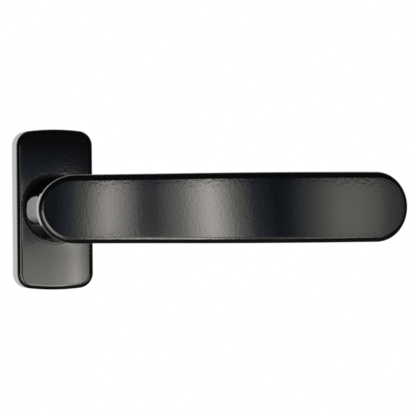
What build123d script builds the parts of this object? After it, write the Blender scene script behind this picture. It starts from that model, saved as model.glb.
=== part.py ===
from build123d import *
import os
from math import asin, degrees, sqrt

# Bifold door lever handle on an oblong rose.
# Each piece is drawn in the door's own frame: x along the lever, y up the door, z out of the door's face.
# The pieces are turned as they are written, so that +Z is up and the user stands on the -Y side.

# Rose cover, a cast cap with bowed ends
rose_width = 31.0
rose_height = 64.0
rose_depth = 10.0
rose_corner_radius = 6.0
rose_end_bow = 1.4
rose_edge_radius = 2.0
cover_wall = 1.6
cover_face = 1.8
cover_inner_radius = 0.6
cover_clearance = 0.2

# Collar, a moulded ring that lines the cover's hole and grips the neck
collar_wall = 0.65
collar_lip = 0.8
collar_rise = 0.9
collar_edge_radius = 0.35
collar_bead_height = 0.5
collar_bead_lip = 0.3
collar_clearance = 0.1

# Lever, one casting with its neck, journal and tail
lever_tip = 137.3
lever_projection = 54.9
lever_arch_radius = 230.0
lever_thickness = 8.5
lever_middle_width = 27.7
lever_tip_width = 28.0
lever_end_round = 14.1
lever_end_overhang = 5.7
lever_side_overhang = 5.6
lever_front_edge = 2.5
lever_back_edge = 3.2
neck_diameter = 24.9
neck_top_diameter = 15.6
neck_hollow = 0.95
neck_blend_radius = 2.0
neck_straight = 0.6

# Journal, bush and tail
journal_diameter = 14.0
journal_clearance = 0.05
bush_wall = 1.0
bush_flange_lip = 0.6
bush_flange_thickness = 0.6
end_float = 0.05
tail_diameter = 12.0
tail_across_flats = 10.4
tail_land = 0.65

# Base plate, the casting that is screwed to the door
base_gap = 1.2
base_edge = 0.5
base_rib = 1.4
base_floor = 2.4
screw_boss_wall = 1.6
spigot_diameter = 10.0
spigot_length = 3.5
spigot_edge = 0.5

# Stop post under the neck and its groove in the base plate
stop_swing = 90.0
stop_post_diameter = 2.0
stop_post_land = 0.45
stop_clearance = 0.2
stop_groove_depth = 1.8

# Detent: a square cam between the legs of a bow spring
cam_across_flats = 14.0
cam_corner_diameter = 17.2
cam_thickness = 1.95
cam_fit = 0.03
spring_strip = 0.7
spring_height = 1.7
spring_seat_gap = 0.02
spring_bend_radius = 3.0
spring_leg_overrun = 1.6
spring_post_diameter = 2.6
pocket_clearance = 0.15
pocket_corner_radius = 1.5

# Retaining ring in a groove of the tail
ring_thickness = 1.0
ring_width = 1.7
ring_groove_depth = 0.5
ring_fit = 0.02
ring_gap_angle = 40.0
ring_eye_diameter = 1.2
ring_eye_wall = 0.7

# Back plate over the detent, and its rivets
back_plate_thickness = 0.8
back_plate_side_rim = 1.9
back_plate_end_rim = 3.4
back_plate_corner_radius = 2.0
back_plate_fit = 0.1
back_plate_gap = 0.15
tail_hole_clearance = 0.4
rivet_diameter = 2.0
rivet_head_diameter = 3.4
rivet_length = 2.2
rivet_inset = 2.0

# Spindle and its spring pin
spindle_size = 7.0
spindle_clearance = 0.05
spindle_reach = 38.0
spindle_grip = 20.0
spindle_end_chamfer = 0.8
socket_end_gap = 0.3
pin_diameter = 2.5
pin_end_gap = 0.2
pin_wall = 0.5
pin_slit = 0.4

# Countersunk fixing screws
screw_spacing = 43.0
screw_diameter = 5.0
screw_shank_diameter = 4.4
screw_thread_gap = 0.5
screw_head_diameter = 9.2
screw_head_sink = 0.3
screw_rim = 0.3
screw_hole_clearance = 0.25
screw_length = 42.0
screw_point = 0.8
recess_width = 1.0
recess_span = 4.8
recess_depth = 1.7

# Levels out of the door's face
cover_inside = rose_depth - cover_face
base_front = cover_inside - base_gap
neck_foot = base_front + bush_flange_thickness + end_float
ring_start = back_plate_thickness + back_plate_gap
cam_start = ring_start + ring_thickness + end_float
pocket_depth = cam_start + cam_thickness + end_float
tail_end = ring_start - tail_land
pin_level = (pocket_depth + base_front) / 2
collar_top = rose_depth + collar_rise

# Radii about the spindle's axis
neck_radius = neck_diameter / 2
neck_top_radius = neck_top_diameter / 2
journal_radius = journal_diameter / 2
bush_bore = journal_radius + journal_clearance
bush_radius = bush_bore + bush_wall
tail_radius = tail_diameter / 2
collar_bore = neck_radius + collar_clearance
cover_hole = collar_bore + collar_wall
stop_post_radius = stop_post_diameter / 2
stop_radius = neck_radius - stop_post_land - stop_post_radius
cam_corner_radius = cam_corner_diameter / 2

# Places along the lever
lever_heel = neck_top_radius + lever_end_overhang
lever_heel_width = neck_top_diameter + 2 * lever_side_overhang
lever_middle = (lever_tip - lever_heel) / 2
arch_centre = lever_projection - lever_arch_radius
underside_radius = lever_arch_radius - lever_thickness
neck_top = arch_centre + sqrt(underside_radius**2 - (lever_middle + lever_heel) ** 2)

# Places in the detent's pocket
leg_inside = cam_across_flats / 2 + spring_seat_gap
leg_outside = leg_inside + spring_strip
spring_post_radius = spring_post_diameter / 2
spring_post_place = cam_corner_radius + pocket_clearance + spring_post_radius
bow_inside = spring_post_place + spring_post_radius + pocket_clearance
bow_outside = bow_inside + spring_strip
leg_spread = cam_corner_radius - cam_across_flats / 2
pocket_half_width = leg_outside + leg_spread + pocket_clearance
pocket_half_height = bow_outside + pocket_clearance
leg_end = -cam_across_flats / 2 - spring_leg_overrun
plate_width = 2 * (pocket_half_width + back_plate_side_rim)
plate_height = 2 * (pocket_half_height + back_plate_end_rim)

screw_places = [(0, sign * screw_spacing / 2) for sign in (1, -1)]
rivet_places = [
    (sx * (pocket_half_width - rivet_inset), sy * (pocket_half_height + back_plate_end_rim / 2))
    for sx in (1, -1)
    for sy in (1, -1)
]


def rose_outline(inset):
    """The rose's outline, drawn in by an inset: straight sides, bowed ends and round corners."""
    half_width = rose_width / 2 - inset
    half_height = rose_height / 2 - inset
    shoulder = half_height - rose_end_bow
    top = ThreePointArc((half_width, shoulder), (0, half_height), (-half_width, shoulder))
    left = Line((-half_width, shoulder), (-half_width, -shoulder))
    bottom = ThreePointArc((-half_width, -shoulder), (0, -half_height), (half_width, -shoulder))
    right = Line((half_width, -shoulder), (half_width, shoulder))
    outline = make_face([top, left, bottom, right])
    return fillet(outline.vertices(), rose_corner_radius - inset)


def turned(*points):
    """A piece turned about the spindle's axis from (radius, height) points."""
    return revolve(Plane.XZ * make_face(Polyline(*points, close=True)), Axis.Z)


def raised(outline, start, end):
    """An outline extruded from one height to another."""
    return Pos(0, 0, start) * extrude(outline, end - start)


def make_rose_cover():
    """Hollow cap with a rounded front edge and a hole for the collar."""
    cap = extrude(rose_outline(0), rose_depth)
    cap = fillet(cap.faces().sort_by(Axis.Z)[-1].edges(), rose_edge_radius)
    cavity = extrude(rose_outline(cover_wall), cover_inside)
    cavity = fillet(cavity.faces().sort_by(Axis.Z)[-1].edges(), cover_inner_radius)
    return cap - cavity - raised(Circle(cover_hole), 0, rose_depth)


def make_collar():
    """Ring with a lip on the cover's face and a snap bead behind it."""
    bead_top = cover_inside
    bead_foot = bead_top - collar_bead_height
    ring = turned(
        (collar_bore, bead_foot),
        (cover_hole, bead_foot),
        (cover_hole + collar_bead_lip, bead_top),
        (cover_hole, bead_top),
        (cover_hole, rose_depth),
        (cover_hole + collar_lip, rose_depth),
        (cover_hole + collar_lip, collar_top),
        (collar_bore, collar_top),
    )
    return fillet(ring.faces().sort_by(Axis.Z)[-1].edges(), collar_edge_radius)


def lever_plan():
    """The lever seen from the front: elliptical ends and sides that widen gently towards the tip."""
    heel_centre = -lever_heel + lever_end_round
    tip_centre = lever_tip - lever_end_round
    heel_half = lever_heel_width / 2
    middle_half = lever_middle_width / 2
    tip_half = lever_tip_width / 2
    along = ((1, 0), (1, 0))
    top = Spline(
        (heel_centre, heel_half), (lever_middle, middle_half), (tip_centre, tip_half), tangents=along
    )
    bottom = Spline(
        (heel_centre, -heel_half), (lever_middle, -middle_half), (tip_centre, -tip_half), tangents=along
    )
    heel = EllipticalCenterArc((heel_centre, 0), lever_end_round, heel_half, start_angle=90, arc_size=180)
    tip = EllipticalCenterArc((tip_centre, 0), lever_end_round, tip_half, start_angle=-90, arc_size=180)
    return make_face([top, tip, bottom, heel])


def under_arch(radius):
    """Block that spans the lever's length and is rounded over the top by the arch at the given radius."""
    reach = (lever_tip + lever_heel) / 2 + lever_thickness
    half_angle = degrees(asin(reach / radius))
    arch = CenterArc((lever_middle, arch_centre), radius, 90 - half_angle, 2 * half_angle)
    foot_right = (lever_middle + reach, 0)
    foot_left = (lever_middle - reach, 0)
    sides = Polyline(arch @ 1, foot_left, foot_right, arch @ 0)
    return extrude(Plane.XZ * make_face([arch, *sides.edges()]), lever_tip_width, both=True)


def make_lever():
    """Arched bar, flared neck, stop post, journal and tail in one casting."""
    bar = extrude(lever_plan(), lever_projection)
    bar = (bar & under_arch(lever_arch_radius)) - under_arch(underside_radius)
    bar = fillet(bar.faces().sort_by(Axis.Z)[-1].edges(), lever_front_edge)
    bar = fillet(bar.faces().sort_by(Axis.Z)[0].edges(), lever_back_edge)
    flare = SagittaArc((neck_radius, collar_top + neck_straight), (neck_top_radius, neck_top), neck_hollow)
    below = Polyline(
        (0, tail_end),
        (tail_radius, tail_end),
        (tail_radius, pocket_depth),
        (journal_radius, pocket_depth),
        (journal_radius, neck_foot),
        (neck_radius, neck_foot),
        flare @ 0,
    )
    above = Polyline(flare @ 1, (neck_top_radius, lever_projection), (0, lever_projection), (0, tail_end))
    neck = revolve(Plane.XZ * make_face([*below.edges(), flare, *above.edges()]), Axis.Z)
    neck = neck & under_arch(underside_radius + lever_thickness / 2)
    lever = bar + neck
    lever = fillet(new_edges(bar, neck, combined=lever), neck_blend_radius)
    post_foot = base_front - stop_groove_depth + stop_clearance
    lever += raised(Pos(-stop_radius, 0) * Circle(stop_post_radius), post_foot, neck_foot)
    lever -= turned_ring_groove()
    lever -= tail_flats()
    socket = spindle_size + 2 * spindle_clearance
    lever -= raised(Rectangle(socket, socket), tail_end, spindle_grip + socket_end_gap)
    return lever - pin_bore()


def turned_ring_groove():
    """Ring of metal that is turned away where the retaining ring sits."""
    return raised(
        Circle(tail_radius) - Circle(tail_radius - ring_groove_depth), ring_start, ring_start + ring_thickness
    )


def tail_flats():
    """The two segments that are milled off the tail below the journal."""
    outline = Circle(tail_radius) - Rectangle(tail_across_flats, tail_diameter)
    return raised(outline, tail_end, pocket_depth)


def pin_bore():
    """Cross hole for the spring pin."""
    return Pos(0, 0, pin_level) * Rot(90, 0, 0) * Cylinder(pin_diameter / 2, journal_diameter)


def make_bush():
    """Flanged bush between the journal and the base plate."""
    flange = bush_radius + bush_flange_lip
    return turned(
        (bush_bore, pocket_depth),
        (bush_radius, pocket_depth),
        (bush_radius, base_front),
        (flange, base_front),
        (flange, base_front + bush_flange_thickness),
        (bush_bore, base_front + bush_flange_thickness),
    )


def make_base_plate():
    """Casting with a bearing bore, cored ends, screw bosses, rear spigots and the detent's pocket."""
    inset = cover_wall + cover_clearance
    base = extrude(rose_outline(inset), base_front)
    base = chamfer(base.faces().sort_by(Axis.Z)[-1].edges(), base_edge)
    core_start = plate_height / 2
    boss_radius = screw_head_diameter / 2 + screw_boss_wall
    for x, y in screw_places:
        sign = 1 if y > 0 else -1
        half = Pos(0, sign * (core_start + rose_height / 2)) * Rectangle(rose_width, rose_height)
        core = (rose_outline(inset + base_rib) & half) - Pos(x, y) * Circle(boss_radius)
        base -= raised(core, base_floor, base_front)
    for x, y in screw_places:
        spigot = Pos(x, y, -spigot_length) * extrude(Circle(spigot_diameter / 2), spigot_length)
        base += chamfer(spigot.faces().sort_by(Axis.Z)[0].edges(), spigot_edge)
    for x, y in screw_places:
        base -= Pos(x, y) * screw_seat()
    base -= raised(Circle(bush_radius), 0, base_front)
    groove = SlotArc(
        CenterArc((0, 0), stop_radius, 180 - stop_swing, 2 * stop_swing),
        stop_post_diameter + 2 * stop_clearance,
    )
    base -= raised(groove, base_front - stop_groove_depth, base_front)
    pocket = RectangleRounded(2 * pocket_half_width, 2 * pocket_half_height, pocket_corner_radius)
    base -= raised(pocket, 0, pocket_depth)
    base += raised(
        Pos(0, spring_post_place) * Circle(spring_post_radius), cam_start + end_float, pocket_depth
    )
    base -= raised(back_plate_outline(back_plate_fit), 0, back_plate_thickness)
    for x, y in rivet_places:
        base -= raised(Pos(x, y) * Circle(rivet_diameter / 2), back_plate_thickness, rivet_length)
    return base


def screw_seat():
    """Countersink and clearance hole for one fixing screw."""
    hole = screw_diameter / 2 + screw_hole_clearance
    head = screw_head_diameter / 2
    top = base_front - screw_head_sink - screw_rim
    return turned(
        (0, -spigot_length),
        (hole, -spigot_length),
        (hole, top - head + hole),
        (head, top),
        (head, base_front),
        (0, base_front),
    )


def back_plate_outline(margin):
    """Round-cornered outline of the back plate, grown by a margin."""
    return RectangleRounded(
        plate_width + 2 * margin, plate_height + 2 * margin, back_plate_corner_radius + margin
    )


def rivet_head_depth():
    """Depth of a rivet's countersunk head."""
    return (rivet_head_diameter - rivet_diameter) / 2


def one_rivet():
    """Countersunk rivet with its head flush with the back plate."""
    return turned(
        (0, 0),
        (rivet_head_diameter / 2, 0),
        (rivet_diameter / 2, rivet_head_depth()),
        (rivet_diameter / 2, rivet_length),
        (0, rivet_length),
    )


def make_back_plate():
    """Pressed plate that closes the detent's pocket."""
    plate = raised(back_plate_outline(0), 0, back_plate_thickness)
    plate -= raised(Circle(tail_radius + tail_hole_clearance), 0, back_plate_thickness)
    for x, y in rivet_places:
        plate -= Pos(x, y) * one_rivet()
    return plate


def make_cam():
    """Square cam with corners rounded to one circle, on the tail's flats."""
    hole = Circle(tail_radius + cam_fit) & Rectangle(tail_across_flats + 2 * cam_fit, tail_diameter + 1)
    outline = Rectangle(cam_across_flats, cam_across_flats) & Circle(cam_corner_radius)
    return raised(outline - hole, cam_start, cam_start + cam_thickness)


def make_spring():
    """Bow spring: one strip bent round the post, with a leg on each side of the cam."""
    middle = leg_inside + spring_strip / 2
    crown = bow_inside + spring_strip / 2
    path = FilletPolyline(
        (-middle, leg_end), (-middle, crown), (middle, crown), (middle, leg_end), radius=spring_bend_radius
    )
    strip = trace(path, spring_strip)
    start = cam_start + (cam_thickness - spring_height) / 2
    return raised(strip, start, start + spring_height)


def make_retaining_ring():
    """Open ring with two plier eyes, seated in the tail's groove."""
    inside = tail_radius - ring_groove_depth + ring_fit
    outside = inside + ring_width
    eye_radius = ring_eye_diameter / 2 + ring_eye_wall
    gap = make_face(
        Polyline(
            (0, 0),
            Vector(3 * outside, 0).rotate(Axis.Z, -90 - ring_gap_angle / 2),
            Vector(3 * outside, 0).rotate(Axis.Z, -90 + ring_gap_angle / 2),
            close=True,
        )
    )
    outline = Circle(outside) - gap
    holes = Sketch()
    for sign in (1, -1):
        eye = Vector(inside + eye_radius, 0).rotate(Axis.Z, -90 + sign * ring_gap_angle / 2)
        outline += Pos(eye.X, eye.Y) * Circle(eye_radius)
        holes += Pos(eye.X, eye.Y) * Circle(ring_eye_diameter / 2)
    outline = outline - Circle(inside) - holes
    return raised(outline, ring_start, ring_start + ring_thickness)


def make_spindle():
    """Square bar that reaches into the door's lock, with a cross hole for its pin."""
    bar = raised(Rectangle(spindle_size, spindle_size), -spindle_reach, spindle_grip)
    bar = chamfer(bar.faces().sort_by(Axis.Z)[0].edges(), spindle_end_chamfer)
    bar = chamfer(bar.faces().sort_by(Axis.Z)[-1].edges(), spindle_end_chamfer)
    return bar - pin_bore()


def make_spindle_pin():
    """Slit spring pin through the journal and the spindle, kept in by the bush."""
    length = journal_diameter - 2 * pin_end_gap
    outline = Circle(pin_diameter / 2) - Circle(pin_diameter / 2 - pin_wall)
    outline -= Pos(pin_diameter / 2, 0) * Rectangle(pin_diameter, pin_slit)
    pin = extrude(outline, length / 2, both=True)
    return Pos(0, 0, pin_level) * Rot(90, 0, 0) * pin


def one_screw():
    """Countersunk screw with a cross recess, a reduced shank and a plain stand-in for its thread."""
    thread = screw_diameter / 2
    shank = screw_shank_diameter / 2
    head = screw_head_diameter / 2
    top = base_front - screw_head_sink
    cone_top = top - screw_rim
    foot = top - screw_length
    thread_start = -spigot_length - screw_thread_gap
    screw = turned(
        (0, foot),
        (thread - screw_point, foot),
        (thread, foot + screw_point),
        (thread, thread_start),
        (shank, thread_start),
        (shank, cone_top - head + shank),
        (head, cone_top),
        (head, top),
        (0, top),
    )
    cross = Rectangle(recess_span, recess_width) + Rectangle(recess_width, recess_span)
    return screw - raised(cross, top - recess_depth, top)


pieces = {
    "lever": make_lever(),
    "rose_cover": make_rose_cover(),
    "cover_collar": make_collar(),
    "base_plate": make_base_plate(),
    "bearing_bush": make_bush(),
    "detent_cam": make_cam(),
    "detent_spring": make_spring(),
    "retaining_ring": make_retaining_ring(),
    "back_plate": make_back_plate(),
    "spindle": make_spindle(),
    "spindle_pin": make_spindle_pin(),
}
for number, (x, y) in enumerate(screw_places, start=1):
    pieces[f"fixing_screw_{number}"] = Pos(x, y) * one_screw()
for number, (x, y) in enumerate(rivet_places, start=1):
    pieces[f"plate_rivet_{number}"] = Pos(x, y) * one_rivet()

os.makedirs("parts", exist_ok=True)
for name, piece in pieces.items():
    export_step(Plane.XZ.location * piece, f"parts/{name}.step")
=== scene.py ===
"""Black lever handle for a bifold door: finishes, rolled screws, studio lights and camera."""

import logging
import math
from dataclasses import dataclass
from enum import Enum
from typing import Any, Optional, Union

import bpy
from mathutils import Matrix, Vector


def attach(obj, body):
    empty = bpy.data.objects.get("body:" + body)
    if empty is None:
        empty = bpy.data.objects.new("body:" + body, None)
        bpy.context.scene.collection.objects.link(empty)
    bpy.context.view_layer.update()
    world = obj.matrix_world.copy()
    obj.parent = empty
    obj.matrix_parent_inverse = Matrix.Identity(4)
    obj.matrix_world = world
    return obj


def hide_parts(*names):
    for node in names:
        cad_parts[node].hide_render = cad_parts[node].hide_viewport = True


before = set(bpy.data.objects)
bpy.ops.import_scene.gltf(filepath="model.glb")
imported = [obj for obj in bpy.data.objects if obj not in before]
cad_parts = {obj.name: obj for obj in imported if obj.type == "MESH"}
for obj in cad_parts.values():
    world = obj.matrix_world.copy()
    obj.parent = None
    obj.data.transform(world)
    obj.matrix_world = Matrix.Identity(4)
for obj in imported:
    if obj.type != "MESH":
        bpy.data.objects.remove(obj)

log = logging.getLogger("lever_handle")

Point = tuple[float, float, float]
Colour = tuple[float, float, float, float]
Span = tuple[float, float]

WHITE: Colour = (1.0, 1.0, 1.0, 1.0)
MOTTLE_MEAN = 0.5


class Body(Enum):
    """The bodies that a piece can move with."""

    BASE = "base"
    LEVER = "lever"
    COVER = "cover"


class Grain(Enum):
    """The direction in which a metal was drawn, rolled or turned."""

    ACROSS = (1.0, 0.04, 1.0)
    ALONG_X = (0.03, 1.0, 1.0)
    ALONG_Y = (1.0, 0.03, 1.0)


def toned(colour: Colour, *shares: float) -> Colour:
    """Darkens, brightens or tints a colour.

    Args:
        colour: The colour to start from.
        shares: One factor for all of it, or one each for red, green and blue.

    Returns:
        The new colour, no brighter than white.
    """
    red, green, blue = shares if len(shares) == 3 else shares * 3
    return (min(1.0, red * colour[0]), min(1.0, green * colour[1]), min(1.0, blue * colour[2]), 1.0)


class Wire:
    """A shader socket that carries a number or a colour, with arithmetic that adds Math nodes."""

    def __init__(self, sheet: "Sheet", socket: Optional[bpy.types.NodeSocket]) -> None:
        """Keeps the socket, none for an output node, and the sheet that it belongs to."""
        self.sheet = sheet
        self.socket = socket

    def _maths(self, operation: str, *values: "Value") -> "Wire":
        """Adds one Math node on the given values."""
        return self.sheet.node("ShaderNodeMath", {"operation": operation}, dict(enumerate(values)))

    def __add__(self, other: "Value") -> "Wire":
        """Sum."""
        return self._maths("ADD", self, other)

    def __radd__(self, other: "Value") -> "Wire":
        """Sum with a number in front."""
        return self._maths("ADD", other, self)

    def __sub__(self, other: "Value") -> "Wire":
        """Difference."""
        return self._maths("SUBTRACT", self, other)

    def __rsub__(self, other: "Value") -> "Wire":
        """Difference with a number in front."""
        return self._maths("SUBTRACT", other, self)

    def __mul__(self, other: "Value") -> "Wire":
        """Product."""
        return self._maths("MULTIPLY", self, other)

    def __rmul__(self, other: "Value") -> "Wire":
        """Product with a number in front."""
        return self._maths("MULTIPLY", other, self)

    def __truediv__(self, other: "Value") -> "Wire":
        """Quotient."""
        return self._maths("DIVIDE", self, other)

    def __rtruediv__(self, other: "Value") -> "Wire":
        """Quotient with a number in front."""
        return self._maths("DIVIDE", other, self)

    def either(self, other: "Value") -> "Wire":
        """The larger of two masks."""
        return self._maths("MAXIMUM", self, other)

    def sine(self) -> "Wire":
        """Sine of an angle in radians."""
        return self._maths("SINE", self)

    def sway(self, share: float) -> "Wire":
        """A mottle's swing about its mean, times a share."""
        return share * (self - MOTTLE_MEAN)

    def rise(self, start: float, end: float) -> "Wire":
        """A smooth step from 0 at the start value to 1 at the end value."""
        sockets = {0: self, 1: start, 2: end, 3: 0.0, 4: 1.0}
        return self.sheet.node("ShaderNodeMapRange", {"interpolation_type": "SMOOTHSTEP"}, sockets)


Value = Union[Wire, float]


@dataclass(frozen=True)
class Mottle:
    """A soft mottle: its cells per metre, its finer levels and the share that each level keeps."""

    per_metre: float
    levels: float = 2.0
    keep: float = 0.5


class Sheet:
    """A node tree that is written as calls and expressions."""

    def __init__(self, tree: bpy.types.NodeTree) -> None:
        """Empties the tree."""
        self.tree = tree
        tree.nodes.clear()

    def node(
        self, kind: str, settings: dict[str, Any], sockets: dict[Any, Any], out: Any = 0
    ) -> Wire:
        """Adds a node of any kind.

        Args:
            kind: The node's type name.
            settings: Its properties, set before its sockets. The name "stops" stands for a ramp's
                places and colours.
            sockets: Input names or numbers, with a value or a wire for each.
            out: The output's name or number.

        Returns:
            The output as a wire.
        """
        node = self.tree.nodes.new(kind)
        for name, value in settings.items():
            if name == "stops":
                self._set_stops(node.color_ramp.elements, value)
            else:
                setattr(node, name, value)
        for key, value in sockets.items():
            if isinstance(value, Wire):
                self.tree.links.new(value.socket, node.inputs[key])
            else:
                node.inputs[key].default_value = value
        return Wire(self, node.outputs[out] if node.outputs else None)

    @staticmethod
    def _set_stops(elements: Any, stops: list[tuple[float, Colour]]) -> None:
        """Sets the places and colours of a ramp.

        Args:
            elements: The ramp's stops.
            stops: A place from 0 to 1 and a colour for each.
        """
        while len(elements) < len(stops):
            elements.new(1.0)
        for element, (place, colour) in zip(elements, stops):
            element.position = place
            element.color = colour

    def point(self) -> Wire:
        """The surface point in the piece's own coordinates, in metres."""
        return self.node("ShaderNodeTexCoord", {}, {}, "Object")

    def axis(self, point: Wire, name: str) -> Wire:
        """One coordinate of a point."""
        return self.node("ShaderNodeSeparateXYZ", {}, {0: point}, name)

    def stretched(self, point: Wire, scale: Point) -> Wire:
        """The point scaled along each axis."""
        return self.node("ShaderNodeMapping", {}, {"Vector": point, "Scale": scale})

    def length(self, vector: Wire) -> Wire:
        """Length of a vector."""
        return self.node("ShaderNodeVectorMath", {"operation": "LENGTH"}, {0: vector}, "Value")

    def direction(self, vector: Wire) -> Wire:
        """The vector at a length of 1."""
        return self.node("ShaderNodeVectorMath", {"operation": "NORMALIZE"}, {0: vector}, "Vector")

    def ray(self, kind: str) -> Wire:
        """1 for rays of one kind, such as those of the camera, and 0 for the others."""
        return self.node("ShaderNodeLightPath", {}, {}, kind)

    def noise(self, point: Wire, mottle: Mottle) -> Wire:
        """A mottle at a point.

        Args:
            point: The point, stretched where the mottle is.
            mottle: Its size and detail.

        Returns:
            Its value, from 0 to 1.
        """
        sockets = {
            "Vector": point,
            "Scale": mottle.per_metre,
            "Detail": mottle.levels,
            "Roughness": mottle.keep,
        }
        return self.node("ShaderNodeTexNoise", {}, sockets)

    def mix(self, factor: Value, first: Union[Wire, Colour], second: Union[Wire, Colour]) -> Wire:
        """Mixes two colours."""
        sockets = {0: factor, 6: first, 7: second}
        return self.node("ShaderNodeMix", {"data_type": "RGBA"}, sockets, 2)

    def bump(self, height: Wire, depth: float) -> Wire:
        """A normal from a height between 0 and 1 and a depth in metres."""
        sockets = {"Strength": 1.0, "Distance": depth, "Height": height}
        return self.node("ShaderNodeBump", {}, sockets)


@dataclass(frozen=True)
class Finish:
    """A surface finish with its colour and its mean roughness."""

    name: str
    colour: Colour
    roughness: float

    def material(self) -> bpy.types.Material:
        """Writes the finish as a material.

        Returns:
            The new material.
        """
        material = bpy.data.materials.new(self.name)
        material.use_nodes = True
        sheet = Sheet(material.node_tree)
        shader = sheet.node("ShaderNodeBsdfPrincipled", {}, self.sockets(sheet))
        sheet.node("ShaderNodeOutputMaterial", {}, {"Surface": shader})
        return material

    def sockets(self, sheet: Sheet) -> dict[str, Any]:
        """Values and wires for the shader's sockets, which each finish gives."""
        raise NotImplementedError


@dataclass(frozen=True)
class PowderCoat(Finish):
    """Baked black coat: a dark, slightly cool ground under a glossy skin with fine orange peel."""

    cloud: Mottle = Mottle(60.0, 3.0)
    cloud_shade: float = 0.7
    cloud_dulling: float = 0.03
    peel: Mottle = Mottle(1000.0, 1.5)
    peel_stretch: Point = (1.0, 1.0, 0.7)
    peel_share: float = 0.9
    peel_depth: float = 1.7e-5
    grain: Mottle = Mottle(5200.0, 1.0)
    grain_share: float = 0.1
    grain_dulling: float = 0.02
    speck: Mottle = Mottle(2600.0, 0.0)
    speck_edge: Span = (0.70, 0.80)
    speck_gain: float = 3.0
    speck_dulling: float = 0.04
    index: float = 1.79

    def sockets(self, sheet: Sheet) -> dict[str, Any]:
        """Clouds and specks in the colour and the gloss, and the peel and the grain as relief.

        Args:
            sheet: The material's node tree.

        Returns:
            A value or a wire for each socket's name.
        """
        point = sheet.point()
        cloud = sheet.noise(point, self.cloud)
        peel = sheet.noise(sheet.stretched(point, self.peel_stretch), self.peel)
        grain = sheet.noise(point, self.grain)
        speck = sheet.noise(point, self.speck).rise(*self.speck_edge)
        ground = sheet.mix(cloud, toned(self.colour, self.cloud_shade), self.colour)
        skin = self.peel_share * peel + self.grain_share * grain
        gloss = self.roughness + cloud.sway(self.cloud_dulling) + grain.sway(self.grain_dulling)
        return {
            "Base Color": sheet.mix(speck, ground, toned(self.colour, self.speck_gain)),
            "Roughness": gloss + self.speck_dulling * speck,
            "Normal": sheet.bump(self.relief(sheet, point, skin), 1.0),
            "IOR": self.index,
        }

    def relief(self, sheet: Sheet, point: Wire, skin: Wire) -> Wire:
        """Height of the coat's skin in metres.

        Args:
            sheet: The node tree.
            point: The surface point.
            skin: The orange peel and the grain, from 0 to 1.

        Returns:
            The height, with the skin alone on a flat ground.
        """
        return skin * self.peel_depth


@dataclass(frozen=True)
class CrownedCoat(PowderCoat):
    """Powder coat whose shading carries a slight crown across the width of a flat face."""

    peel_depth: float = 1.0e-5
    crown_radius: float = 0.16

    def relief(self, sheet: Sheet, point: Wire, skin: Wire) -> Wire:
        """Height of the coat's skin in metres, falling off to both sides."""
        across = sheet.axis(point, "X")
        return skin * self.peel_depth - across * across / (2.0 * self.crown_radius)


@dataclass(frozen=True)
class MouldedNylon(Finish):
    """Moulded nylon with a fine spark-eroded grain and faint flow clouds."""

    cloud: Mottle = Mottle(240.0, 3.0)
    cloud_shade: float = 0.76
    grain: Mottle = Mottle(6500.0, 2.0)
    grain_dulling: float = 0.12
    grain_depth: float = 6.0e-6
    index: float = 1.53

    def sockets(self, sheet: Sheet) -> dict[str, Any]:
        """Flow clouds in the colour, and the grain in the gloss and as relief.

        Args:
            sheet: The material's node tree.

        Returns:
            A value or a wire for each socket's name.
        """
        point = sheet.point()
        cloud = sheet.noise(point, self.cloud)
        grain = sheet.noise(point, self.grain)
        return {
            "Base Color": sheet.mix(cloud, toned(self.colour, self.cloud_shade), self.colour),
            "Roughness": self.roughness + grain.sway(self.grain_dulling),
            "Normal": sheet.bump(grain, self.grain_depth),
            "IOR": self.index,
        }


@dataclass(frozen=True)
class CastZinc(Finish):
    """As-cast zinc alloy: grey, cloudy, with cast grain, and turned rings on the machined front."""

    cloud: Mottle = Mottle(150.0, 4.0, 0.6)
    cloud_shade: float = 0.62
    cloud_dulling: float = 0.22
    grain: Mottle = Mottle(3200.0, 3.0, 0.6)
    pit: Mottle = Mottle(1500.0, 0.0)
    pit_edge: Span = (0.68, 0.76)
    pit_shade: float = 0.4
    pit_cover: float = 0.6
    pit_dulling: float = 0.12
    pit_relief: float = 0.6
    front_edge: Span = (-0.00698, -0.00692)
    front_gain: float = 1.3
    front_cover: float = 0.8
    front_polish: float = 0.16
    ring_spacing: float = 0.00022
    ring_dulling: float = 0.06
    ring_relief: float = 0.35
    depth: float = 1.4e-5

    def sockets(self, sheet: Sheet) -> dict[str, Any]:
        """Clouds and pits of the cast skin, and turned rings where the front is machined.

        Args:
            sheet: The material's node tree.

        Returns:
            A value or a wire for each socket's name.
        """
        point = sheet.point()
        cloud = sheet.noise(point, self.cloud)
        grain = sheet.noise(point, self.grain)
        pit = sheet.noise(point, self.pit).rise(*self.pit_edge)
        radius = sheet.length(sheet.stretched(point, (1.0, 0.0, 1.0)))
        machined = 1 - sheet.axis(point, "Y").rise(*self.front_edge)
        rings = 0.5 + 0.5 * (radius * (2.0 * math.pi / self.ring_spacing)).sine()
        cast = sheet.mix(cloud, toned(self.colour, self.cloud_shade), self.colour)
        metal = sheet.mix(machined * self.front_cover, cast, toned(self.colour, self.front_gain))
        skin = self.roughness + cloud.sway(self.cloud_dulling) + self.pit_dulling * pit
        rough_relief = (1 - machined) * (grain - self.pit_relief * pit)
        pitted = toned(self.colour, self.pit_shade)
        return {
            "Base Color": sheet.mix(pit * self.pit_cover, metal, pitted),
            "Metallic": 1.0,
            "Roughness": skin - machined * (self.front_polish - self.ring_dulling * rings),
            "Normal": sheet.bump(rough_relief + self.ring_relief * machined * rings, self.depth),
        }


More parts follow.
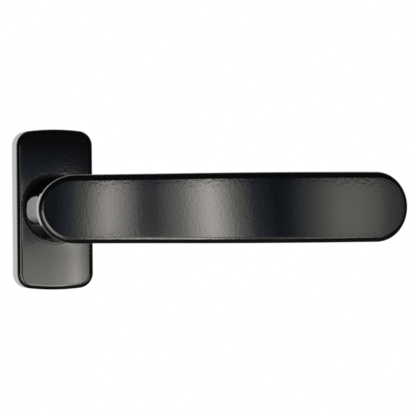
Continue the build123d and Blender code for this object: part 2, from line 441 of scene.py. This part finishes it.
@dataclass(frozen=True)
class PlatedSteel(Finish):
    """Zinc plated steel with faint blue and straw tints and the lines of drawing or rolling."""

    grain: Grain = Grain.ALONG_Y
    tint: Mottle = Mottle(170.0, 2.0)
    tint_edge: Span = (0.35, 0.68)
    straw: Point = (1.03, 0.99, 0.88)
    blue: Point = (0.88, 0.96, 1.08)
    lines: Mottle = Mottle(5200.0, 3.0, 0.65)
    line_dulling: float = 0.16
    line_depth: float = 5.0e-6
    spangle: Mottle = Mottle(1400.0, 2.0)
    spangle_edge: Span = (0.5, 0.8)
    spangle_shade: float = 0.72
    spangle_cover: float = 0.45
    spangle_dulling: float = 0.10

    def sockets(self, sheet: Sheet) -> dict[str, Any]:
        """Tints and spangle in the colour, and the drawn lines in the gloss and as relief.

        Args:
            sheet: The material's node tree.

        Returns:
            A value or a wire for each socket's name.
        """
        point = sheet.point()
        tint = sheet.noise(point, self.tint).rise(*self.tint_edge)
        lines = sheet.noise(sheet.stretched(point, self.grain.value), self.lines)
        spangle = sheet.noise(point, self.spangle)
        hue = sheet.mix(tint, toned(self.colour, *self.blue), toned(self.colour, *self.straw))
        cover = self.spangle_cover * spangle.rise(*self.spangle_edge)
        gloss = self.roughness + lines.sway(self.line_dulling)
        return {
            "Base Color": sheet.mix(cover, hue, toned(self.colour, self.spangle_shade)),
            "Metallic": 1.0,
            "Roughness": gloss + spangle.sway(self.spangle_dulling),
            "Normal": sheet.bump(lines, self.line_depth),
        }


@dataclass(frozen=True)
class SpringSteel(Finish):
    """Oiled, heat-treated spring steel: dark, with brown and blue heat clouds."""

    heat: Colour = (0.20, 0.22, 0.27, 1.0)
    cloud: Mottle = Mottle(320.0, 3.0)
    cloud_edge: Span = (0.35, 0.7)
    lines: Mottle = Mottle(6000.0, 2.0)
    line_stretch: Point = (1.0, 0.05, 1.0)
    line_dulling: float = 0.08
    line_depth: float = 3.0e-6
    oil: Mottle = Mottle(900.0, 2.0)
    oil_dulling: float = 0.14

    def sockets(self, sheet: Sheet) -> dict[str, Any]:
        """Heat clouds in the colour, an oil film in the gloss and fine lines as relief.

        Args:
            sheet: The material's node tree.

        Returns:
            A value or a wire for each socket's name.
        """
        point = sheet.point()
        cloud = sheet.noise(point, self.cloud).rise(*self.cloud_edge)
        lines = sheet.noise(sheet.stretched(point, self.line_stretch), self.lines)
        oil = sheet.noise(point, self.oil)
        gloss = self.roughness + oil.sway(self.oil_dulling)
        return {
            "Base Color": sheet.mix(cloud, self.colour, self.heat),
            "Metallic": 1.0,
            "Roughness": gloss + lines.sway(self.line_dulling),
            "Normal": sheet.bump(lines, self.line_depth),
        }


def clear_selection() -> None:
    """Leaves edit mode and deselects everything."""
    if bpy.context.object and bpy.context.object.mode != "OBJECT":
        bpy.ops.object.mode_set(mode="OBJECT")
    bpy.ops.object.select_all(action="DESELECT")


def dress(piece: bpy.types.Object, material: bpy.types.Material) -> None:
    """Gives a piece one material.

    Args:
        piece: The object to dress.
        material: Its finish.
    """
    piece.data.materials.clear()
    piece.data.materials.append(material)
    log.info("dressed %s with %s", piece.name, material.name)


def dress_nodes(names: list[str], finish: Finish) -> None:
    """Gives several of the frame's nodes one finish.

    Args:
        names: The nodes' names.
        finish: The finish, written once for all of them.
    """
    material = finish.material()
    for name in names:
        dress(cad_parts[name], material)


@dataclass
class LeverAssembly:
    """The arched lever with all that turns with it."""

    coat: PowderCoat = PowderCoat("black_powder_coat_lever", (0.0022, 0.0024, 0.0029, 1.0), 0.07)
    bar: PlatedSteel = PlatedSteel("drawn_square_bar", (0.66, 0.67, 0.68, 1.0), 0.30, Grain.ALONG_Y)
    pressed: PlatedSteel = PlatedSteel("pressed_cam", (0.58, 0.59, 0.60, 1.0), 0.34, Grain.ALONG_X)
    spring: SpringSteel = SpringSteel("oiled_spring_steel_lever", (0.24, 0.22, 0.20, 1.0), 0.34)

    def dress(self) -> None:
        """Dresses the lever's nodes."""
        dress_nodes(["lever"], self.coat)
        dress_nodes(["spindle"], self.bar)
        dress_nodes(["detent_cam"], self.pressed)
        dress_nodes(["retaining_ring", "spindle_pin"], self.spring)


@dataclass
class RoseAssembly:
    """The lift-off cover with the moulded ring in its hole."""

    coat: CrownedCoat = CrownedCoat("black_powder_coat_rose", (0.0022, 0.0024, 0.0029, 1.0), 0.062)
    ring: MouldedNylon = MouldedNylon(
        "black_nylon", (0.0060, 0.0062, 0.0068, 1.0), 0.17, grain_depth=2.0e-6, index=1.75
    )

    def dress(self) -> None:
        """Dresses the cover's nodes."""
        dress_nodes(["rose_cover"], self.coat)
        dress_nodes(["cover_collar"], self.ring)


@dataclass
class BaseAssembly:
    """The casting on the door with its bush, detent spring, back plate and rivets."""

    casting: CastZinc = CastZinc("cast_zinc", (0.50, 0.51, 0.52, 1.0), 0.46)
    bush: MouldedNylon = MouldedNylon("natural_nylon", (0.70, 0.67, 0.59, 1.0), 0.42)
    plate: PlatedSteel = PlatedSteel("rolled_plate", (0.62, 0.63, 0.64, 1.0), 0.32, Grain.ALONG_X)
    rivet: PlatedSteel = PlatedSteel("rivet_steel", (0.55, 0.55, 0.56, 1.0), 0.36, Grain.ACROSS)
    spring: SpringSteel = SpringSteel("oiled_spring_steel_base", (0.24, 0.22, 0.20, 1.0), 0.36)
    rivets: int = 4

    def dress(self) -> None:
        """Dresses the base's nodes."""
        dress_nodes(["base_plate"], self.casting)
        dress_nodes(["bearing_bush"], self.bush)
        dress_nodes(["back_plate"], self.plate)
        dress_nodes([f"plate_rivet_{number}" for number in range(1, self.rivets + 1)], self.rivet)
        dress_nodes(["detent_spring"], self.spring)


@dataclass
class FixingScrews:
    """The two countersunk screws, with a rolled thread and a tapered cross recess.

    Lengths are in metres, and shares and tapers are parts of 1.
    """

    top: float = -0.0067
    place: float = 0.0215
    length: float = 0.0420
    head_radius: float = 0.0046
    rim: float = 0.0003
    shank_radius: float = 0.0022
    thread_start: float = 0.0107
    thread_radius: float = 0.0025
    root_radius: float = 0.00204
    pitch: float = 0.0008
    flat_share: float = 0.125
    flank_share: float = 0.3125
    point_length: float = 0.0016
    point_taper: float = 0.3
    recess_span: float = 0.0048
    recess_width: float = 0.0010
    recess_depth: float = 0.0017
    recess_taper: Point = (0.45, 0.6, 1.0)
    sides: int = 64
    thread_steps: int = 28
    weld: float = 1.0e-6
    crease: float = math.radians(32.0)
    steel: PlatedSteel = PlatedSteel(
        "rolled_screw_steel", (0.64, 0.64, 0.63, 1.0), 0.30, Grain.ACROSS
    )

    def build(self) -> None:
        """Makes both screws, dresses them and puts them in place of the plain ones."""
        screw = self._blank()
        self._cut_recess(screw)
        thread = self._thread()
        clear_selection()
        thread.select_set(True)
        screw.select_set(True)
        bpy.context.view_layer.objects.active = screw
        bpy.ops.object.join()
        bpy.ops.object.mode_set(mode="EDIT")
        bpy.ops.mesh.select_all(action="SELECT")
        bpy.ops.mesh.normals_make_consistent(inside=False)
        bpy.ops.object.mode_set(mode="OBJECT")
        bpy.ops.object.shade_smooth_by_angle(angle=self.crease)
        bpy.ops.object.duplicate(linked=False)
        copy = bpy.context.view_layer.objects.active
        material = self.steel.material()
        for number, (piece, side) in enumerate([(screw, 1), (copy, -1)], start=1):
            self._seat(piece, side)
            piece.name = f"threaded_screw_{number}"
            dress(piece, material)
            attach(piece, Body.BASE.value)
            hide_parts(f"fixing_screw_{number}")

    def _blank(self) -> bpy.types.Object:
        """Upsets the head and shank from a disc, along +Z from the top of the head.

        Returns:
            The blank, closed at both ends.
        """
        clear_selection()
        bpy.ops.mesh.primitive_circle_add(
            vertices=self.sides, radius=self.head_radius, fill_type="NGON"
        )
        blank = bpy.context.object
        cone = self.head_radius - self.shank_radius
        bpy.ops.object.mode_set(mode="EDIT")
        bpy.ops.mesh.select_all(action="SELECT")
        self._draw_out(self.rim, 1.0)
        self._draw_out(cone, self.shank_radius / self.head_radius)
        self._draw_out(self.thread_start + self.pitch - self.rim - cone, 1.0)
        bpy.ops.mesh.select_all(action="SELECT")
        bpy.ops.mesh.normals_make_consistent(inside=False)
        bpy.ops.object.mode_set(mode="OBJECT")
        return blank

    @staticmethod
    def _draw_out(height: float, scale: float) -> None:
        """Extrudes the selected face along +Z and scales it about the axis.

        Args:
            height: How far the face moves.
            scale: How much it grows or shrinks.
        """
        bpy.ops.mesh.extrude_region_move(TRANSFORM_OT_translate={"value": (0.0, 0.0, height)})
        bpy.ops.transform.resize(value=(scale, scale, 1.0), center_override=(0.0, 0.0, 0.0))

    def _cut_recess(self, blank: bpy.types.Object) -> None:
        """Cuts a cross recess that narrows towards its foot.

        Args:
            blank: The screw's head and shank.
        """
        punch = self._punch()
        for quarter in (0, 1):
            cutter = punch.copy()
            cutter.data = punch.data.copy()
            cutter.data.transform(Matrix.Rotation(quarter * math.pi / 2.0, 4, "Z"))
            bpy.context.scene.collection.objects.link(cutter)
            cut = blank.modifiers.new("recess", "BOOLEAN")
            cut.operation = "DIFFERENCE"
            cut.solver = "EXACT"
            cut.object = cutter
            clear_selection()
            blank.select_set(True)
            bpy.context.view_layer.objects.active = blank
            bpy.ops.object.modifier_apply(modifier=cut.name)
            bpy.data.objects.remove(cutter)
        bpy.data.objects.remove(punch)

    def _punch(self) -> bpy.types.Object:
        """Shapes one blade of the recess's punch.

        Returns:
            The blade, across the axis, with its narrow foot towards +Z.
        """
        clear_selection()
        bpy.ops.mesh.primitive_cube_add(size=1.0)
        punch = bpy.context.object
        bpy.ops.object.mode_set(mode="EDIT")
        bpy.ops.mesh.select_all(action="SELECT")
        size = (self.recess_span, self.recess_width, 2.0 * self.recess_depth)
        bpy.ops.transform.resize(value=size, center_override=(0.0, 0.0, 0.0))
        bpy.ops.object.mode_set(mode="OBJECT")
        for vertex in punch.data.vertices:
            vertex.select = vertex.co.z > 0
        for edge in punch.data.edges:
            edge.select = all(punch.data.vertices[v].select for v in edge.vertices)
        for polygon in punch.data.polygons:
            polygon.select = polygon.normal.z > 0.5
        bpy.ops.object.mode_set(mode="EDIT")
        bpy.ops.transform.resize(value=self.recess_taper, center_override=(0.0, 0.0, 0.0))
        bpy.ops.object.mode_set(mode="OBJECT")
        return punch

    def _thread(self) -> bpy.types.Object:
        """Rolls the thread as one helical skin with closed ends and a chamfered point.

        Returns:
            The thread, along +Z from where it starts.
        """
        clear_selection()
        bpy.ops.mesh.primitive_plane_add(size=self.pitch)
        thread = bpy.context.object
        bpy.ops.object.mode_set(mode="EDIT")
        bpy.ops.mesh.select_all(action="SELECT")
        bpy.ops.mesh.merge(type="CENTER")
        bpy.ops.transform.translate(value=(self.root_radius, 0.0, self.thread_start))
        tall = self.thread_radius - self.root_radius
        flat, flank = self.flat_share, self.flank_share
        for out, share in [(0.0, flat), (tall, flank), (0.0, flat), (-tall, flank), (0.0, flat)]:
            move = {"value": (out, 0.0, share * self.pitch)}
            bpy.ops.mesh.extrude_vertices_move(TRANSFORM_OT_translate=move)
        bpy.ops.object.mode_set(mode="OBJECT")
        roll = thread.modifiers.new("roll", "SCREW")
        roll.axis = "Z"
        roll.screw_offset = self.pitch
        roll.iterations = int((self.length - self.thread_start) / self.pitch) - 1
        roll.steps = self.thread_steps
        roll.render_steps = self.thread_steps
        bpy.ops.object.modifier_apply(modifier=roll.name)
        bpy.ops.object.mode_set(mode="EDIT")
        bpy.ops.mesh.select_all(action="SELECT")
        bpy.ops.mesh.remove_doubles(threshold=self.weld)
        bpy.ops.mesh.fill_holes(sides=0)
        bpy.ops.mesh.normals_make_consistent(inside=False)
        bpy.ops.object.mode_set(mode="OBJECT")
        self._chamfer_point(thread)
        return thread

    def _chamfer_point(self, thread: bpy.types.Object) -> None:
        """Draws the last turns in towards the axis.

        Args:
            thread: The rolled thread.
        """
        highest = max(vertex.co.z for vertex in thread.data.vertices)
        for vertex in thread.data.vertices:
            share = (vertex.co.z - highest + self.point_length) / self.point_length
            if share > 0.0:
                vertex.co.x *= 1.0 - self.point_taper * share
                vertex.co.y *= 1.0 - self.point_taper * share

    def _seat(self, piece: bpy.types.Object, side: int) -> None:
        """Turns a screw into the door and puts it in its countersink.

        Args:
            piece: The screw, along +Z.
            side: 1 for the upper screw and -1 for the lower one.
        """
        clear_selection()
        piece.rotation_euler = (-math.pi / 2.0, 0.0, 0.0)
        piece.location = (0.0, self.top, side * self.place)
        piece.select_set(True)
        bpy.context.view_layer.objects.active = piece
        bpy.ops.object.transform_apply(location=True, rotation=True, scale=True)


@dataclass(frozen=True)
class Screen:
    """A light screen that stands in front of the handle, graded along its width and its height.

    The bands give a level at places along X, and the heights a share of it at places along Z,
    in metres. Dim parts are cool and bright parts are warm. A fan, in parts per metre, spreads
    the bands downwards.
    """

    name: str
    bands: tuple[Span, ...]
    heights: tuple[Span, ...]
    fan: float = 0.0
    fan_centre: float = -0.02
    cool: Point = (0.66, 0.95, 1.39)
    warm: Point = (1.05, 1.01, 0.94)
    tint_start: float = 0.075
    tint_span: float = 0.4
    headroom: float = 1.1

    def colour(self, level: float) -> Colour:
        """Light of one level.

        Args:
            level: Its brightness, where 1 is white.

        Returns:
            The tinted colour, as a share of the screen's brightest band.
        """
        share = min(1.0, max(0.0, (level - self.tint_start) / self.tint_span))
        red, green, blue = (c + share * (w - c) for c, w in zip(self.cool, self.warm))
        part = level / self.peak()
        return (part * red, part * green, part * blue, 1.0)

    def peak(self) -> float:
        """Level of the brightest band, with room for its tint."""
        return self.headroom * max(level for _, level in self.bands)


@dataclass
class Studio:
    """Light screens, pale floor, white surroundings and the camera."""

    distance: float = 0.35
    screens: tuple[Screen, ...] = (
        Screen(
            "front_screen",
            bands=(
                (-0.165, 0.055), (-0.137, 0.045), (-0.112, 0.220), (-0.088, 0.720), (-0.050, 3.300),
                (0.000, 0.420), (0.022, 0.320), (0.061, 1.350), (0.105, 4.350), (0.144, 1.120),
                (0.175, 0.210), (0.215, 0.045),
            ),
            heights=(
                (-0.0165, 1.0), (0.0090, 1.0), (0.0135, 1.10), (0.0150, 1.10), (0.0157, 0.06),
                (0.0160, 0.05),
            ),
            fan=2.6,
        ),
        Screen(
            "tip_screen",
            bands=(
                (0.215, 0.050), (0.242, 0.100), (0.290, 0.500), (0.350, 1.170), (0.400, 1.220),
                (0.455, 0.980), (0.520, 0.450), (0.595, 0.260),
            ),
            heights=((-0.020, 1.0), (0.0155, 1.0), (0.0190, 0.06), (0.0300, 0.0)),
        ),
        Screen(
            "rose_screen",
            bands=(
                (-0.028, 1.750), (0.055, 1.870), (0.095, 2.550), (0.121, 3.950), (0.146, 2.050),
                (0.165, 0.850), (0.207, 0.250), (0.248, 0.125),
            ),
            heights=((-0.055, 1.0), (-0.036, 0.96), (-0.026, 0.77), (-0.0165, 0.64)),
        ),
        Screen(
            "upper_screen",
            bands=(
                (-0.165, 0.020), (-0.111, 0.100), (-0.020, 0.170), (0.089, 0.100), (0.179, 0.070),
                (0.215, 0.030),
            ),
            heights=(
                (0.0160, 1.0), (0.0205, 0.95), (0.0250, 0.62), (0.0294, 0.40), (0.0338, 0.10),
                (0.0360, 0.0),
            ),
        ),
        Screen(
            "lower_screen",
            bands=(
                (-0.180, 0.100), (-0.100, 0.350), (-0.055, 3.300), (0.055, 3.200), (0.100, 4.700),
                (0.145, 1.900), (0.172, 0.700), (0.230, 0.450), (0.380, 1.600), (0.480, 1.100),
                (0.600, 0.300),
            ),
            heights=((-0.290, 1.0), (-0.145, 1.0), (-0.100, 0.42), (-0.055, 0.26)),
        ),
        Screen(
            "side_screen",
            bands=((-0.420, 0.350), (-0.380, 2.800), (-0.230, 2.800), (-0.190, 0.140)),
            heights=((-0.290, 1.0), (-0.030, 1.0), (0.010, 0.3), (0.060, 0.05)),
        ),
    )
    floor_level: float = -0.30
    floor_size: float = 16.0
    floor_fade: Span = (0.25, 1.4)
    floor_colour: Colour = (0.86, 0.86, 0.85, 1.0)
    # Floor colours that only mirrored rays see: painted shade near the handle and a painted light
    # patch at the left in front.
    floor_painted_shade_in_reflections: Colour = (0.06, 0.06, 0.06, 1.0)
    floor_painted_light_in_reflections: Colour = (0.60, 0.60, 0.60, 1.0)
    beside_edge: Span = (-0.17, -0.08)
    before_edge: Span = (-0.10, -0.05)
    fill: float = 0.5
    front_glow: float = 0.018
    back_glow: float = 0.75
    back_edge: Span = (0.50, 0.66)
    left_glow: float = 0.98
    left_edge: Span = (-0.50, 0.19)
    camera_place: Point = (-0.2484, -1.1757, -0.0034)
    camera_aim: Point = (0.2580, 0.9661, 0.00293)
    camera_roll: float = math.radians(0.48)
    camera_reach: float = 100.0
    lens: float = 258.4
    sensor: float = 36.0

    def build(self) -> None:
        """Sets up the lights, the floor, the surroundings and the camera."""
        for screen in self.screens:
            self._hang(screen)
        self._add_floor()
        self._paint_surroundings()
        self._add_camera()
        bpy.context.scene.view_settings.view_transform = "Standard"

    def _hang(self, screen: Screen) -> None:
        """Hangs one screen in front of the handle, facing the door.

        Args:
            screen: Its bands and heights.
        """
        clear_selection()
        left, right = screen.bands[0][0], screen.bands[-1][0]
        bottom, top = screen.heights[0][0], screen.heights[-1][0]
        place = ((left + right) / 2.0, -self.distance, (bottom + top) / 2.0)
        bpy.ops.object.light_add(type="AREA", location=place, rotation=(math.pi / 2.0, 0.0, 0.0))
        lamp = bpy.context.object
        lamp.name = screen.name
        lamp.visible_camera = False
        light = lamp.data
        light.shape = "RECTANGLE"
        light.size = right - left
        light.size_y = top - bottom
        light.energy = screen.peak() * math.pi * light.size * light.size_y
        light.use_nodes = True
        sheet = Sheet(light.node_tree)
        spot = sheet.node("ShaderNodeNewGeometry", {}, {}, "Position")
        height = sheet.axis(spot, "Z")
        aside = (sheet.axis(spot, "X") - screen.fan_centre) * (1 + screen.fan * height)
        across = (aside + screen.fan_centre - left) / (right - left)
        upward = (height - bottom) / (top - bottom)
        bands = [((x - left) / (right - left), screen.colour(level)) for x, level in screen.bands]
        shares = [((z - bottom) / (top - bottom), (s, s, s, 1.0)) for z, s in screen.heights]
        colour = sheet.node("ShaderNodeValToRGB", {"stops": bands}, {0: across})
        share = sheet.node("ShaderNodeValToRGB", {"stops": shares}, {0: upward})
        glow = sheet.node("ShaderNodeEmission", {}, {"Color": colour, "Strength": share})
        sheet.node("ShaderNodeOutputLight", {}, {"Surface": glow})
        log.info("hung %s", screen.name)

    def _background(self, sheet: Sheet, direction: Wire) -> tuple[Wire, Wire]:
        """What a mirrored ray meets far from the handle.

        Args:
            sheet: The node tree.
            direction: The ray's direction, or that of the point it meets.

        Returns:
            A mask of what lies behind the handle, and the level of the white there.
        """
        behind = sheet.axis(direction, "Y").rise(*self.back_edge)
        leftward = 1 - sheet.axis(direction, "X").rise(*self.left_edge)
        return behind, self.back_glow + self.left_glow * leftward

    def _add_floor(self) -> None:
        """Lays a pale floor that fades to white far from the handle.

        Mirrored rays find it painted dark near the handle, as painted shade, apart from a painted
        light patch at the left in front.
        """
        clear_selection()
        middle = (0.0, 0.0, self.floor_level)
        bpy.ops.mesh.primitive_plane_add(size=self.floor_size, location=middle)
        floor = bpy.context.object
        floor.name = "floor"
        bpy.ops.object.transform_apply(location=True)
        material = bpy.data.materials.new("pale_floor")
        material.use_nodes = True
        sheet = Sheet(material.node_tree)
        point = sheet.point()
        seen = sheet.ray("Is Camera Ray")
        mirrored = sheet.ray("Is Glossy Ray")
        # Painted light: a pale patch at the left in front of the handle, seen only in reflections;
        # elsewhere mirrored rays see the floor painted dark as painted shade.
        beside = 1 - sheet.axis(point, "X").rise(*self.beside_edge)
        before = 1 - sheet.axis(point, "Y").rise(*self.before_edge)
        reflected = sheet.mix(beside * before, self.floor_painted_shade_in_reflections, self.floor_painted_light_in_reflections)
        colour = sheet.mix(mirrored, self.floor_colour, reflected)
        paint = sheet.node("ShaderNodeBsdfDiffuse", {}, {"Color": colour})
        behind, beyond = self._background(sheet, sheet.direction(point))
        level = 1 + mirrored * (beyond - 1)
        white = sheet.node("ShaderNodeEmission", {}, {"Color": WHITE, "Strength": level})
        away = sheet.length(sheet.stretched(point, (1.0, 1.0, 0.0)))
        share = seen.either(mirrored * behind) * away.rise(*self.floor_fade)
        surface = sheet.node("ShaderNodeMixShader", {}, {0: share, 1: paint, 2: white})
        sheet.node("ShaderNodeOutputMaterial", {}, {"Surface": surface})
        dress(floor, material)

    def _paint_surroundings(self) -> None:
        """Paints the world white for the camera, with an even fill for matt surfaces.

        Mirrored rays find it pale behind the handle and dark in front.
        """
        world = bpy.data.worlds.new("studio")
        world.use_nodes = True
        bpy.context.scene.world = world
        sheet = Sheet(world.node_tree)
        direction = sheet.node("ShaderNodeTexCoord", {}, {}, "Generated")
        behind, beyond = self._background(sheet, direction)
        shown = sheet.ray("Is Camera Ray").either(sheet.ray("Is Transmission Ray"))
        mirrored = sheet.ray("Is Glossy Ray")
        reflected = behind * beyond + (1 - behind) * self.front_glow
        level = shown + (1 - shown) * (mirrored * reflected + (1 - mirrored) * self.fill)
        glow = sheet.node("ShaderNodeBackground", {}, {"Color": WHITE, "Strength": level})
        sheet.node("ShaderNodeOutputWorld", {}, {"Surface": glow})

    def _add_camera(self) -> None:
        """Puts the camera where the photograph was taken from."""
        clear_selection()
        aim = Vector(self.camera_aim).normalized()
        level_right = aim.cross(Vector((0.0, 0.0, 1.0))).normalized()
        level_up = level_right.cross(aim)
        up = level_up * math.cos(self.camera_roll) + level_right * math.sin(self.camera_roll)
        right = aim.cross(up).normalized()
        bpy.ops.object.camera_add(location=self.camera_place)
        camera = bpy.context.object
        camera.name = "camera"
        turn = Matrix((right, up, -aim)).transposed()
        camera.rotation_euler = turn.to_euler()
        camera.data.sensor_width = self.sensor
        camera.data.lens = self.lens
        camera.data.clip_end = self.camera_reach
        bpy.context.scene.camera = camera


def main() -> None:
    """Dresses the handle, makes its screws and sets up the studio."""
    logging.basicConfig(level=logging.INFO, format="%(message)s")
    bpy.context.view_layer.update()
    LeverAssembly().dress()
    RoseAssembly().dress()
    BaseAssembly().dress()
    FixingScrews().build()
    Studio().build()


if __name__ == "__main__":
    main()
